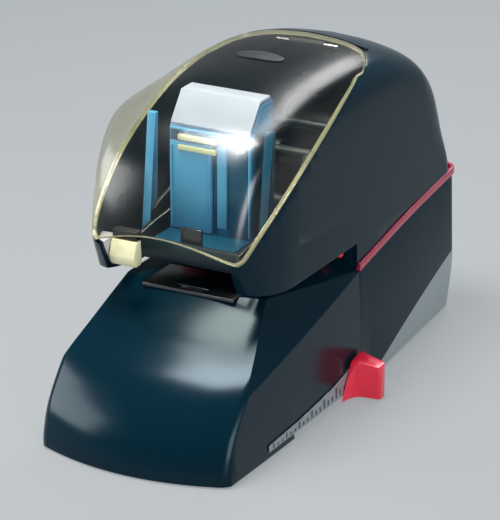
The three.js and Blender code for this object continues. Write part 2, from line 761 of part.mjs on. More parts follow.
// ---------------------------------------------------------------- clincher
function clinchPlate() {
  const sheet = centredBox(29.1, [-78.4, -46.4], [TABLE_Z - 1.6, TABLE_Z + 0.4]);
  const slot = centredBox(9.4, [STAPLE_Y - 2.3, STAPLE_Y + 2.3], [70, 95]);
  return cut(sheet, slot);
}
place("clinch_plate", clinchPlate(), "steel");
function clincherBlock() {
  const block = centredBox(12, [STAPLE_Y - 5, STAPLE_Y + 6], [56, TABLE_Z - 2]);
  const pocket = centredBox(9.2, [STAPLE_Y - 2.3, STAPLE_Y + 2.3], [72, 90]);
  return cut(block, pocket);
}
place("clincher_block", clincherBlock(), "darkSteel");
const WING_OUTLINE = [[0.5, 0], [7.2, 0], [7.8, -3.6], [6, -5.6], [2.4, -3], [0.5, -1.6]].map(
  ([x, z]) => [x, TABLE_Z + z],
);
bothSides(
  "clincher_wing",
  extrude("y", WING_OUTLINE, STAPLE_Y - 1.7, STAPLE_Y + 1.7),
  "steel",
);

// ---------------------------------------------------------------- paper trigger
const FLAP_SIDE = [
  [-96, 100],
  [-96.5, 104],
  [-93.5, 112],
  [-88.6, 112],
  [-87.4, 99.5],
  [-89, 97.6],
  [-94, 97.6],
];
place("trigger_flap", extrude("x", FLAP_SIDE, -39.6, -23.5), "ivory");
place("trigger_bracket", box([-39.6, -92.5, 112.6], [-24, -86.5, 117.5]), "darkBlack");

// ---------------------------------------------------------------- depth slide
const slideY = (half) => [STOP_Y - half, STOP_Y + half];

function leverWing() {
  const plan = [
    [62.4, -9],
    [63.2, -3.5],
    [65.2, 1.2],
    [68.5, 3.4],
    [78.4, 4.6],
    [79.8, 6.2],
    [79.8, 10.5],
    [78.4, 12],
    [66, 14],
    [62.4, 17],
  ];
  const body = extrude("z", plan, 1, 24);
  const topSlope = beyond(vector(0.14, -0.16, 1), vector(62.4, 4, 23));
  const flare = beyond(vector(0.16, -1, 0.55), vector(62.4, -9, 3));
  return cut(body, topSlope, flare);
}

function depthCarriage() {
  const block = box([40.6, slideY(8.5)[0], 11], [55.8, slideY(8.5)[1], 21]);
  const neckDrop = box([53, slideY(6)[0], NECK_Z[0]], [55.8, slideY(6)[1], 12]);
  const neck = box([53, slideY(6)[0], NECK_Z[0]], [62.1, slideY(6)[1], NECK_Z[1]]);
  const post = box([POST_X[0], slideY(2.5)[0], 15], [POST_X[1], slideY(2.5)[1], TABLE_Z + 0.8]);
  const bore = bar("y", RAIL.x, RAIL.z, 2.9, -40, 60, 20);
  return cut(join(block, neckDrop, neck, post), bore);
}
place("depth_lever", leverWing(), "red");
place("depth_carriage", depthCarriage(), "red");
place("paper_stop", centredBox(53, slideY(2.4), [TABLE_Z + 1.1, TABLE_Z + 5.1]), "red");
place("depth_guide_rod", bar("y", RAIL.x, RAIL.z, 2.5, -84, 34, 16), "steel");

// The graduated plate on the right side, above the slide's slot.
function depthScale() {
  const side = [[-96, 4.6], [18, 4.6], [18, 21], [-20, 14], [-60, 10.4], [-96, 8.6]];
  const layer = cut(planPrism(-0.6), planPrism(-0.3)).intersect(box([0, -FAR, 0], [FAR, FAR, FAR]));
  return layer.intersect(extrude("x", side, 30, 80));
}
place("depth_scale", depthScale(), "scale");

// ---------------------------------------------------------------- power and electronics
function switchBezel() {
  const [w, h] = [SWITCH.half[0] - 0.3, SWITCH.half[1] - 0.3];
  const frame = box(
    [SWITCH.x - w, REAR_Y - 10, SWITCH.z - h],
    [SWITCH.x + w, REAR_Y + 0.5, SWITCH.z + h],
  );
  const well = box(
    [SWITCH.x - w + 2, REAR_Y - 8, SWITCH.z - h + 1.6],
    [SWITCH.x + w - 2, FAR, SWITCH.z + h - 1.6],
  );
  return cut(frame, well);
}
place("switch_bezel", switchBezel(), "darkBlack");
const ROCKER_SIDE = [
  [REAR_Y - 5.4, SWITCH.z - 3.6],
  [REAR_Y - 1.4, SWITCH.z - 5],
  [REAR_Y - 0.7, SWITCH.z],
  [REAR_Y + 1.2, SWITCH.z + 4.6],
  [REAR_Y - 4, SWITCH.z + 4.2],
];
place("switch_rocker", extrude("x", ROCKER_SIDE, SWITCH.x - 7.6, SWITCH.x + 7.6), "black");

function powerInlet() {
  const [w, h] = [INLET.half[0] - 0.3, INLET.half[1] - 0.3];
  const body = box([INLET.x - w, REAR_Y - 18, INLET.z - h], [INLET.x + w, REAR_Y + 0.5, INLET.z + h]);
  const well = box([INLET.x - 8.5, REAR_Y - 14, INLET.z - 4.6], [INLET.x + 8.5, FAR, INLET.z + 4.6]);
  const pins = [-4.3, 4.3].map((x) =>
    bar("y", INLET.x + x, INLET.z, 1.2, REAR_Y - 15, REAR_Y - 3, 12),
  );
  return join(cut(body, well), ...pins);
}
place("power_inlet", powerInlet(), "darkBlack");

const TRANSFORMER = { y: [54, 80], z: [18, 64] };
function transformerCore() {
  const core = centredBox(27, TRANSFORMER.y, TRANSFORMER.z);
  const window = box([9.3, 40, 26], [19.7, 100, 56]);
  return cut(core, window, mirrorX(window));
}
place("transformer_core", transformerCore(), "darkSteel");
const leg = centredBox(9.6, [TRANSFORMER.y[0] - 0.4, TRANSFORMER.y[1] + 0.4], [20, 70]);
place("transformer_winding", cut(centredBox(19.2, [44, 90], [26.5, 55.5]), leg), "copper");
place("circuit_board", centredBox(30, [-38, 32], [20, 21.6]), "board");
place("capacitor", bar("z", -14, 6, 9, 21.9, 50, 24), "blue");

// ---------------------------------------------------------------- cover hinge
function hingeBracket() {
  const eye = bar("x", COVER_HINGE.y, COVER_HINGE.z, 2.1, -11.2, 11.2);
  const neck = extrude(
    "x",
    [[64, 186.6], [66.6, 187.4], [70, 185.6], [98, 178.6], [98, 174], [70, 181]],
    -11.2,
    11.2,
  );
  return cut(join(eye, neck), bar("x", COVER_HINGE.y, COVER_HINGE.z, 1.35, -14, 14));
}
place("cover_hinge_bracket", hingeBracket(), "darkBlack");
place("cover_hinge_pin", bar("x", COVER_HINGE.y, COVER_HINGE.z, 1, -20, 20, 12), "steel");

// ---------------------------------------------------------------- origin
const bounds = new THREE.Box3().setFromObject(machine);
machine.position.set(
  -(bounds.min.x + bounds.max.x) / 2,
  -(bounds.min.y + bounds.max.y) / 2,
  -bounds.min.z,
);

const stapler = new THREE.Group();
stapler.add(machine);

export default stapler;
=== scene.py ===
"""An electric stapler: refined shells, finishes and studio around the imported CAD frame.

Lengths are in millimetres in the machine's own frame (x across, y from nose to rear, z up), which
sits in the row frame at the middle of the base housing. Meshes are turned into metres when made.
"""

import json
import math

import bmesh
import bpy
import numpy as np
from mathutils import Matrix, Vector


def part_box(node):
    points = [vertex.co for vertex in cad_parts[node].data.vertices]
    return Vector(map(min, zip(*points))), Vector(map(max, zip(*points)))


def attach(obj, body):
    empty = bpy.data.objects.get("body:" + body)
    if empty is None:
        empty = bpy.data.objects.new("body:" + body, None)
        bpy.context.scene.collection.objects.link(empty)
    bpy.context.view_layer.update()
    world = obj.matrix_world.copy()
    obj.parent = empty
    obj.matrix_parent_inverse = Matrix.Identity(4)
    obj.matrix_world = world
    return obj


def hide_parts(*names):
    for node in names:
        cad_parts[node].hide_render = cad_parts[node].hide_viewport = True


MM = 0.001

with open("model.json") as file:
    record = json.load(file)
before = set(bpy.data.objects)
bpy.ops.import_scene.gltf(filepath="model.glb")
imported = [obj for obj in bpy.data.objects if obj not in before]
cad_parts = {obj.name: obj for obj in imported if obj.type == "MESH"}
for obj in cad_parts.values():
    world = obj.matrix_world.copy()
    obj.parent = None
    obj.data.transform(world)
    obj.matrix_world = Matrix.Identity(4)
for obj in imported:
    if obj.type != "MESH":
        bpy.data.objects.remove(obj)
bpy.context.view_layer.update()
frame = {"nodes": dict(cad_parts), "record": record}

# ---------------------------------------------------------------- driving dimensions
REAR_Y = 154.6  # rear face of the base
base_low, base_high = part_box("base_housing")
ORIGIN = Vector(((base_low.x + base_high.x) / 2, base_high.y - REAR_Y * MM, 0.0))

WALL = 2.6  # thickness of the shells and the clear cover
TABLE_Z = 82.5  # the table that the paper lies on
ROOF_Z = 89.6  # underside of the head over the throat
EDGE_Z = 1.0  # lower edge of the base
THROAT_Y = 13.5  # front of the wall at the back of the throat
STEP_Y = 17  # where the base rises behind the throat
HALF_WIDTH = 60.0
BAND_HEIGHT = 4.6
BAND_PROUD = 0.9
COVER_EDGE = 0.9  # width of the cream edge strip of the clear cover at its rear end, a painted highlight
HINGE_ROOM = 0.9  # gap round the sweep of the cover's crown edge

# Levels beyond the machine's faces, where cutters end.
FAR = 240.0
WIDE = 80
AHEAD = -140
AHEAD_OF_ROOF = -130
BEHIND = 170
ABOVE = 200
BENEATH = -10
WELL_BENEATH = -20
BLOCK_TOP = 110  # top of the base's block before it is cut along the parting line


# Marks on the faces of a body and its cutters: the body's own skin, cut faces that are opened,
# cut faces that stay, and cut faces that stay light grey, a painted reflection of the floor.
SKIN, DROP, KEEP, PAINTED_SHEEN = 0, 1, 2, 3
# Material slots of a shell.
OUTSIDE, INSIDE, RIM, FACET = 0, 1, 2, 3


def in_mm(node):
    """The low and high corner of a CAD node in the machine's frame, in millimetres."""
    low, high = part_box(node)
    return (low - ORIGIN) / MM, (high - ORIGIN) / MM


# ---------------------------------------------------------------- curves
def smooth(points, steps):
    """Points along a Catmull-Rom curve through the given ones."""
    given = np.array(points, float)
    last = len(given) - 1
    out = []
    for step in range(steps + 1):
        place = last * step / steps
        i = min(int(place), last - 1)
        t = place - i
        before = given[max(i - 1, 0)]
        a, b = given[i], given[i + 1]
        after = given[min(i + 2, last)]
        va, vb = (b - before) / 2, (after - a) / 2
        out.append((2 * a - 2 * b + va + vb) * t**3 + (3 * b - 3 * a - 2 * va - vb) * t**2 + va * t + a)
    return np.array(out)


def ease(t):
    """A gentle step from 0 to 1."""
    held = min(max(t, 0.0), 1.0)
    return held * held * (3 - 2 * held)


# ---------------------------------------------------------------- meshes
def new_object(name, mesh):
    obj = bpy.data.objects.new(name, mesh)
    bpy.context.scene.collection.objects.link(obj)
    return obj


def mesh_of(name, points, faces, index=SKIN):
    """A mesh from points in millimetres in the machine's frame, with its faces turned outwards."""
    bm = bmesh.new()
    verts = [bm.verts.new(ORIGIN + Vector(p) * MM) for p in points]
    for face in faces:
        made = bm.faces.new([verts[i] for i in face])
        made.material_index = index
    bmesh.ops.recalc_face_normals(bm, faces=bm.faces)
    mesh = bpy.data.meshes.new(name)
    bm.to_mesh(mesh)
    bm.free()
    return new_object(name, mesh)


def closed_loft(name, rings, poles=None, index=SKIN):
    """A closed body through rings of equal length, capped by poles or by its end rings."""
    count = len(rings[0])
    points = [p for ring in rings for p in ring]
    faces = []
    for r in range(len(rings) - 1):
        for i in range(count):
            j = (i + 1) % count
            a, b = r * count, (r + 1) * count
            faces.append((a + i, a + j, b + j, b + i))
    last = (len(rings) - 1) * count
    if poles:
        start, end = len(points), len(points) + 1
        points += list(poles)
        for i in range(count):
            j = (i + 1) % count
            faces.append((start, j, i))
            faces.append((end, last + i, last + j))
    else:
        faces.append(tuple(reversed(range(count))))
        faces.append(tuple(range(last, last + count)))
    return mesh_of(name, points, faces, index)


AXES = {"x": (1, 2, 0), "y": (0, 2, 1), "z": (0, 1, 2)}


def prism(name, axis, outline, low, high, index=DROP):
    """An outline drawn in the two other axes and extruded along one axis."""
    u, v, w = AXES[axis]
    rings = []
    for level in (low, high):
        ring = []
        for a, b in outline:
            p = [0.0, 0.0, 0.0]
            p[u], p[v], p[w] = a, b, level
            ring.append(p)
        rings.append(ring)
    return closed_loft(name, rings, index=index)


def block(name, low, high, index=DROP):
    """A box between two corners."""
    outline = [(low[0], low[1]), (high[0], low[1]), (high[0], high[1]), (low[0], high[1])]
    return prism(name, "z", outline, low[2], high[2], index)


def centred_block(name, half, y, z, index=DROP):
    """A box that lies evenly across the machine's centre plane."""
    return block(name, (-half, y[0], z[0]), (half, y[1], z[1]), index)


def beyond(name, normal, point, index=KEEP):
    """Everything on the far side of a plane, as a large block."""
    direction = Vector(normal).normalized()
    turn = direction.to_track_quat("Z", "Y").to_matrix()
    corners = [Vector((x, y, z)) * FAR for z in (0, 1) for x, y in ((-1, -1), (1, -1), (1, 1), (-1, 1))]
    points = [Vector(point) + turn @ c for c in corners]
    faces = [(3, 2, 1, 0), (4, 5, 6, 7), (0, 1, 5, 4), (1, 2, 6, 5), (2, 3, 7, 6), (3, 0, 4, 7)]
    return mesh_of(name, points, faces, index)


def mirrored(obj):
    """A copy of a cutter, mirrored about the machine's centre plane."""
    mesh = obj.data.copy()
    flip = Matrix.Translation(ORIGIN) @ Matrix.Scale(-1, 4, (1, 0, 0)) @ Matrix.Translation(-ORIGIN)
    mesh.transform(flip)
    mesh.flip_normals()
    return new_object(obj.name + "_mirror", mesh)


def frozen(obj):
    """Applies the object's modifiers."""
    dg = bpy.context.evaluated_depsgraph_get()
    mesh = bpy.data.meshes.new_from_object(obj.evaluated_get(dg), depsgraph=dg)
    obj.modifiers.clear()
    obj.data = mesh
    return obj


def carve(body, cutters, operation="DIFFERENCE"):
    """Cuts each cutter out of the body, or keeps only what they share, and removes the cutters."""
    for obj in (body, *cutters):
        if not obj.data.materials:
            for _ in (SKIN, DROP, KEEP, PAINTED_SHEEN):
                obj.data.materials.append(None)
    for cutter in cutters:
        step = body.modifiers.new("carve", "BOOLEAN")
        step.operation = operation
        step.solver = "EXACT"
        step.object = cutter
        bpy.context.view_layer.update()
        frozen(body)
        mesh = cutter.data
        bpy.data.objects.remove(cutter)
        bpy.data.meshes.remove(mesh)
    return body


MERGE_WITHIN = 0.00005  # metres


def drop_faces(obj, test=None):
    """Opens a carved body: deletes the faces marked DROP and those picked by the test.

    The test is given each face's centre and normal. The faces that stay get their material slots,
    and the edges between differently marked faces are kept crisp.
    """
    bm = bmesh.new()
    bm.from_mesh(obj.data)
    bm.normal_update()
    doomed = []
    for face in bm.faces:
        centre = (face.calc_center_median() - ORIGIN) / MM
        if face.material_index == DROP or (test and test(centre, face.normal)):
            doomed.append(face)
    bmesh.ops.delete(bm, geom=doomed, context="FACES")
    bmesh.ops.remove_doubles(bm, verts=bm.verts, dist=MERGE_WITHIN)
    bmesh.ops.dissolve_degenerate(bm, edges=bm.edges, dist=MERGE_WITHIN)
    flat = [face for face in bm.faces if face.material_index in (KEEP, PAINTED_SHEEN)]
    edges = {edge for face in flat for edge in face.edges}
    verts = {vert for face in flat for vert in face.verts}
    bmesh.ops.dissolve_limit(
        bm, angle_limit=math.radians(0.2), verts=list(verts), edges=list(edges), delimit={"MATERIAL"}
    )
    for edge in bm.edges:
        edge.smooth = len({face.material_index for face in edge.link_faces}) < 2
    for face in bm.faces:
        face.material_index = FACET if face.material_index == PAINTED_SHEEN else OUTSIDE
    bm.to_mesh(obj.data)
    bm.free()
    return obj


def soften(obj, angle=30):
    """Smooth shading, with marked edges and edges sharper than the angle kept crisp."""
    mesh = obj.data
    marked = [edge.index for edge in mesh.edges if edge.use_edge_sharp]
    for face in mesh.polygons:
        face.use_smooth = True
    mesh.set_sharp_from_angle(angle=math.radians(angle))
    for index in marked:
        mesh.edges[index].use_edge_sharp = True
    return obj


def thicken(obj, thickness, rim_bevel=0.35, angle=50):
    """Gives an open skin its wall, with its own material slots inside and on the rim, and soft edges."""
    wall = obj.modifiers.new("wall", "SOLIDIFY")
    wall.thickness = thickness * MM
    wall.offset = -1
    wall.material_offset = INSIDE
    wall.material_offset_rim = RIM
    edge = obj.modifiers.new("edge", "BEVEL")
    edge.width = rim_bevel * MM
    edge.segments = 2
    edge.limit_method = "ANGLE"
    edge.angle_limit = math.radians(angle)
    frozen(obj)
    return soften(obj)


def join(name, *objects):
    """One object holding the meshes of all the given ones."""
    bm = bmesh.new()
    for obj in objects:
        bm.from_mesh(obj.data)
    mesh = bpy.data.meshes.new(name)
    for _ in (OUTSIDE, INSIDE, RIM, FACET):
        mesh.materials.append(None)
    bm.to_mesh(mesh)
    bm.free()
    for obj in objects:
        old = obj.data
        bpy.data.objects.remove(obj)
        bpy.data.meshes.remove(old)
    return new_object(name, mesh)


# ---------------------------------------------------------------- base form
FRONT_SLOPE = [
    (-152.6, EDGE_Z),
    (-152, 8),
    (-147.5, 22),
    (-138, 36),
    (-126, 48.5),
    (-106.5, 61.5),
    (-87, 75),
    (-75, TABLE_Z),
]
FRONT_CORNER = 6.0
REAR_CORNER = 7.0
PARTING = smooth([(-10, 65.5), (17, 72), (80, 82.6), (128, 88), (170, 91.5)], 48)


BASE_HALF = 61.6  # at its widest, at desk level
BASE_WIDEST_Y = -10
BASE_LEAN = 0.03
BARREL = 0.0001  # how fast the sides of the base and the head draw in towards the ends
FRONT_BOW = 13


def base_half(y, z):
    """Half the width of the base, which narrows upwards and towards both ends."""
    return BASE_HALF - BARREL * (y - BASE_WIDEST_Y) ** 2 - BASE_LEAN * z


def front_bow(x):
    """How far the front slope lies back from its middle line, with its rounded corners."""
    into = min(max(abs(x) - (HALF_WIDTH + 1 - FRONT_CORNER), 0), FRONT_CORNER)
    return FRONT_BOW * (x / HALF_WIDTH) ** 2 + FRONT_CORNER - math.sqrt(FRONT_CORNER**2 - into**2)


def parting_z(y):
    return float(np.interp(y, PARTING[:, 0], PARTING[:, 1]))


def below_parting(name, rise):
    """Everything below the parting line, raised by a distance."""
    outline = [(y, z + rise) for y, z in PARTING]
    outline += [(BEHIND, BENEATH), (PARTING[0][0], BENEATH)]
    return prism(name, "x", outline, -WIDE, WIDE)


def above_parting(name, rise, start):
    """Everything above the parting line and behind a level of y."""
    line = [(y, z + rise) for y, z in PARTING if y > start]
    outline = [(start, parting_z(start) + rise), *line, (BEHIND, ABOVE), (start, ABOVE)]
    return prism(name, "x", outline, -WIDE, WIDE)


def plan_outline(z, inset, side_steps=60, corner_steps=12, front=-156):
    """The base's outline in plan: right side, rear corner, rear, and back along the left."""
    rear = REAR_Y - inset
    right = []
    for step in range(side_steps + 1):
        y = front + step * (rear - REAR_CORNER - front) / side_steps
        right.append((base_half(y, z) - inset, y))
    for step in range(1, corner_steps + 1):
        angle = step * math.pi / (2 * corner_steps)
        y = rear - REAR_CORNER + REAR_CORNER * math.sin(angle)
        right.append((base_half(y, z) - inset - REAR_CORNER * (1 - math.cos(angle)), y))
    return right + [(-x, y) for x, y in reversed(right)]


# The line on the base's side where its upper facet begins, and two points of the table's edge.
SIDE_LINE = (Vector((58.2, -112, 47.8)), Vector((59.4, STEP_Y, 72.4)))
TABLE_CORNER = Vector((44.6, -66, TABLE_Z))
TABLE_INNER = Vector((43, STEP_Y, TABLE_Z))
UNDERCUT = (Vector((60.2, 45, 0)), Vector((52, REAR_Y, 0)), Vector((57.6, REAR_Y, 42.5)))


def plane_through(a, b, c):
    """The normal of the plane through three points, turned to the right."""
    normal = (b - a).cross(c - a).normalized()
    return -normal if normal.x < 0 else normal


def base_body():
    """The base as a closed block with its sloping front, side facets and rear undercuts."""
    middle = np.linspace(0, 52, 40)
    corner = np.linspace(53, 61, 24)
    half = np.concatenate([middle, corner, [70]])
    across = [*(-x for x in half[:0:-1]), *half]
    front = smooth(FRONT_SLOPE, 90)
    rings = []
    for x in across:
        ring = [(x, y + front_bow(x), z) for y, z in front]
        ring += [(x, STEP_Y, TABLE_Z), (x, STEP_Y, BLOCK_TOP)]
        ring += [(x, REAR_Y, BLOCK_TOP), (x, REAR_Y, EDGE_Z)]
        rings.append(ring)
    body = closed_loft("base", rings)
    plan = [[(x, y, z) for x, y in plan_outline(z, 0)] for z in (BENEATH, BLOCK_TOP)]
    carve(body, [closed_loft("plan", plan, index=SKIN)], "INTERSECT")
    facet = beyond("facet", plane_through(*SIDE_LINE, TABLE_CORNER), SIDE_LINE[0])
    shelf = beyond("shelf", plane_through(TABLE_CORNER, SIDE_LINE[1], TABLE_INNER), TABLE_CORNER)
    for cutter in (facet, shelf):
        throat = block("throat", (-FAR, -FAR, -FAR), (FAR, STEP_Y, FAR), KEEP)
        carve(cutter, [throat], "INTERSECT")
    # The rear undercuts get the light grey facet finish: a painted reflection of the floor in the black
    # plastic.
    undercut = beyond("undercut", plane_through(*UNDERCUT), UNDERCUT[0], PAINTED_SHEEN)
    cutters = [facet, shelf, undercut]
    return carve(body, cutters + [mirrored(c) for c in cutters])


# ---------------------------------------------------------------- head form
HEAD_LINE = [
    (-97, 88),
    (-103, 100),
    (-109, 112),
    (-111.5, 121),
    (-109.5, 134),
    (-103.5, 150),
    (-92, 168),
    (-71, 183.6),
    (-36, 192.4),
    (7, 196),
    (47, 196),
    (80, 191.2),
    (110, 180.6),
    (130.5, 165),
    (142, 145.5),
    (148, 121),
    (150.8, 98),
    (151.4, 70),
]
HEAD_FOOT = [(151.4, 30), (40, 30), (-80, 30), (-92, 70)]  # inside the base, cut away later
SPINE = (-55.0, 110.0, 106.0)  # the level line that the skin draws in to: its two ends in y, and its z
RIB = [  # half the head's cross-section, as (share of the half width, depth below the crown)
    (0, 0),
    (0.34, 0.9),
    (0.6, 2.9),
    (0.77, 5.4),
    (0.88, 8.6),
    (0.95, 12.8),
    (0.988, 18.5),
    (1, 26),
]
SEAM = smooth([(-112, 106), (-103.3, 112.8), (-86.6, 128), (-51.7, 151), (-3, 174), (30, 184.5)], 64)
CROWN_SEAM_Y = 66.4
COVER_HINGE = (65.0, 188.2)  # axis of the cover's hinge, as (y, z)
CHEEK_STEPS = (0.12, 0.3, 0.46, 0.62, 0.78, 0.9)  # rings between the widest line and the spine

HEAD_HALF = 58.4
HEAD_WIDEST_Y = 30
HEAD_LEAN = 0.02
HEAD_LEAN_FROM = 90
NOSE_FROM = -45
NOSE_LENGTH = 58
NOSE_TAPER = 8

NOSE_SHARE, NOSE_GAIN = 0.68, 0.67
NOSE_TIP_Y = -74
REAR_SHARE, REAR_GAIN = 0.3, 0.7
REAR_FROM_Y = 100
REAR_FOOT_Z, REAR_RISE = 88, 75


def head_half(y, z):
    """Half the width of the head, which narrows upwards, towards both ends and more on the nose."""
    nose = max(0.0, NOSE_FROM - y) / NOSE_LENGTH
    barrel = BARREL * (y - HEAD_WIDEST_Y) ** 2
    return HEAD_HALF - barrel - NOSE_TAPER * nose**2 - HEAD_LEAN * (z - HEAD_LEAN_FROM)


def inward_share(y, z):
    """The skin comes in less on the short nose and at the foot of the rear than on the crown."""
    front = NOSE_SHARE + NOSE_GAIN * ease((y - NOSE_TIP_Y) / NOSE_LENGTH)
    if y < REAR_FROM_Y:
        return front
    return front * (REAR_SHARE + REAR_GAIN * ease((z - REAR_FOOT_Z) / REAR_RISE))


def toward_spine(y, z, distance):
    """A point of the outline moved towards the spine."""
    core_y = min(max(y, SPINE[0]), SPINE[1])
    length = math.hypot(core_y - y, SPINE[2] - z)
    return y + (core_y - y) * distance / length, z + (SPINE[2] - z) * distance / length


def head_body(name, inset=0.0, steps=150, ribs=44, index=SKIN):
    """The head as a closed body, its whole skin moved inwards by inset."""
    outline = [tuple(p) for p in smooth(HEAD_LINE, steps)] + HEAD_FOOT
    rib = smooth(RIB, ribs)
    rib[:, 0] = np.minimum(rib[:, 0], 1)
    half = [(share, depth, 0.0) for share, depth in rib]
    half += [(1.0, RIB[-1][1], shrink) for shrink in CHEEK_STEPS]
    across = [(-s, d, k) for s, d, k in half[:0:-1]] + half
    rings = []
    for share, depth, shrink in across:
        ring = []
        for oy, oz in outline:
            y, z = toward_spine(oy, oz, inset + depth * inward_share(oy, oz))
            core_y = min(max(y, SPINE[0]), SPINE[1])
            y += (core_y - y) * shrink
            z += (SPINE[2] - z) * shrink
            ring.append((share * (head_half(y, z) - inset), y, z))
        rings.append(ring)
    reach = head_half(HEAD_WIDEST_Y, SPINE[2]) - inset
    poles = [(side * reach, HEAD_WIDEST_Y, SPINE[2]) for side in (-1, 1)]
    return closed_loft(name, rings, poles, index)


EDGE_WIDENING = 1.6  # how much wider the cream edge strip, a painted highlight, is at the foot of the seam
SEAM_SWEEP = 37
SEAM_HALF = 52


def cover_region(name, grow, index=DROP, edge=None):
    """The space in front of and above the seam of the clear cover, grown by a clearance.

    With edge, the sides of the space stay back from the seam by a strip that widens to its foot.
    """
    if edge is None:
        rise = [-grow] * len(SEAM)
    else:
        foot_ward = [1 - i / (len(SEAM) - 1) for i in range(len(SEAM))]
        rise = [edge * (1 + EDGE_WIDENING * share**3) for share in foot_ward]
    above = [(y, z + up) for (y, z), up in zip(SEAM, rise)]
    above += [(90, 185 + rise[-1]), (90, FAR), (AHEAD, FAR), (AHEAD, 100)]
    crown = [(x, crown_seam_y(x) + grow) for x in np.linspace(-56, 56, 57)]
    plan = crown + [(70, 5), (70, AHEAD), (-70, AHEAD), (-70, 5)]
    region = prism(name, "x", above, -WIDE, WIDE, index)
    return carve(region, [prism("plan", "z", plan, 90, 230, index)], "INTERSECT")


def crown_seam_y(x):
    """The crown's seam in plan: nearly straight, and swept forwards at its two ends."""
    return CROWN_SEAM_Y - SEAM_SWEEP * (x / SEAM_HALF) ** 6


def crown_height(x, y):
    """Height of the crown's skin at a place in plan."""
    line = smooth(HEAD_LINE, 240)
    top = line[:160]  # the part of the outline that runs from the nose back over the crown
    middle = float(np.interp(y, top[:, 0], top[:, 1]))
    rib = np.array(RIB, float)
    depth = float(np.interp(abs(x) / head_half(y, middle), rib[:, 0], rib[:, 1]))
    return middle - depth * inward_share(y, middle)


def hinge_clearance(name):
    """The room in which the crown edge of the clear cover turns about its hinge."""
    hinge_y, hinge_z = COVER_HINGE
    half, step = 39, 1.5
    end_radius = 1.2
    turns = np.linspace(0, 2 * math.pi, 48, endpoint=False)
    rings = []
    for x in np.arange(-half, half + step, step):
        reach = math.hypot(crown_seam_y(x) - hinge_y, crown_height(x, hinge_y) - hinge_z)
        radius = end_radius if abs(x) > half - step / 2 else reach + HINGE_ROOM
        ring = [(x, hinge_y + radius * math.cos(t), hinge_z + radius * math.sin(t)) for t in turns]
        rings.append(ring)
    return closed_loft(name, rings, index=DROP)


def under_arch(name):
    """What is cut from the foot of the clear cover: the space below a low arch."""
    crest, drop, span, half = 124.5, 11, 45, 64
    arch = [(x, crest - drop * (x / span) ** 2) for x in np.linspace(-half, half, 65)]
    return prism(name, "y", arch + [(half, 60), (-half, 60)], AHEAD, -98)


def below_head(name, throat_end, index=KEEP):
    """The space below the head, whose roof is level at the back and curves up on the nose."""
    level_from, curve = -60, 0.0042
    ahead = np.linspace(AHEAD_OF_ROOF, level_from, 36)
    roof = [(y, ROOF_Z + curve * (y - level_from) ** 2) for y in ahead]
    outline = roof + [(throat_end, ROOF_Z), (throat_end, 0), (AHEAD_OF_ROOF, 0)]
    return prism(name, "x", outline, -WIDE, WIDE, index)


# ---------------------------------------------------------------- shells
def rear_window(node, gap=0.3, depth=8):
    """The window in the base's rear face that a CAD node sits in."""
    low, high = in_mm(node)
    near = (low.x - gap, REAR_Y - depth, low.z - gap)
    return block("window", near, (high.x + gap, BEHIND, high.z + gap))


def plate_recess(side_gap=0.4, front_gap=0.5, depth=1.2):
    """The recess in the paper table that the clinch plate lies in."""
    low, high = in_mm("clinch_plate")
    near = (low.x - side_gap, low.y - front_gap, TABLE_Z - depth)
    return block("plate", near, (high.x + side_gap, -46, 95), KEEP)


def on_step(centre, normal):
    """Picks the upright face behind the throat, which has a wall of its own."""
    upright = normal.y < -0.5
    return upright and abs(centre.y - STEP_Y) < 0.5 and centre.z > 71 and abs(centre.x) < 62


def base_housing():
    """The base's shell with its windows, its slots and the wall behind the throat."""
    body = base_body()
    windows = [rear_window(node) for node in ("switch_bezel", "power_inlet")]
    slot = block("slot", (42, -64, 76), (42.7, 13, 95))
    neck = block("neck", (52, -66, -5), (75, 19, 4.2))
    carve(body, [above_parting("above", -0.2, STEP_Y), *windows, plate_recess(), slot, neck])
    carve(body, [block("under", (-WIDE, -BEHIND, WELL_BENEATH), (WIDE, BEHIND, EDGE_Z + 0.01))])
    drop_faces(body, on_step)
    shell = thicken(body, WALL, 0.4, 60)
    wall = centred_block("wall", 55, (THROAT_Y, THROAT_Y + 2.5), (66, ROOF_Z - 0.4), SKIN)
    return join("base_shell", shell, soften(wall))


def rear_shell():
    """The black shell of the head, open below, at the mouth and where the clear cover lies."""
    body = head_body("head")
    below = below_head("below", 16.4)
    parting = below_parting("parting", BAND_HEIGHT - 1.6)
    behind = block("behind", (-WIDE, 16, WELL_BENEATH), (WIDE, BEHIND, ABOVE), DROP)
    carve(parting, [behind], "INTERSECT")
    mouth = centred_block("mouth", 38.6, (AHEAD_OF_ROOF, -46), (80, 130))
    front = centred_block("front", 41, (AHEAD_OF_ROOF, -80), (80, 126))
    carve(body, [below, parting, mouth, front, cover_region("seam", 0.45)])
    drop_faces(body)
    thicken(body, WALL, 0.4, 50)
    carve(body, [hinge_clearance("hinge")])
    for face in body.data.polygons:
        face.material_index = min(face.material_index, RIM)
    return soften(body)


def front_cover():
    """The clear cover within its cream edge strip, which is a painted highlight."""
    body = head_body("head")
    carve(body, [cover_region("region", 0, edge=COVER_EDGE)], "INTERSECT")
    carve(body, [under_arch("arch")])
    drop_faces(body)
    return thicken(body, WALL, 0.35, 50)


def cover_edge():
    """The cream edge strip of the clear cover along the side seams, a painted highlight."""
    body = head_body("head")
    carve(body, [cover_region("region", 0)], "INTERSECT")
    carve(body, [cover_region("inner", 0, edge=COVER_EDGE), under_arch("arch")])
    drop_faces(body)
    return thicken(body, WALL, 0.3, 50)


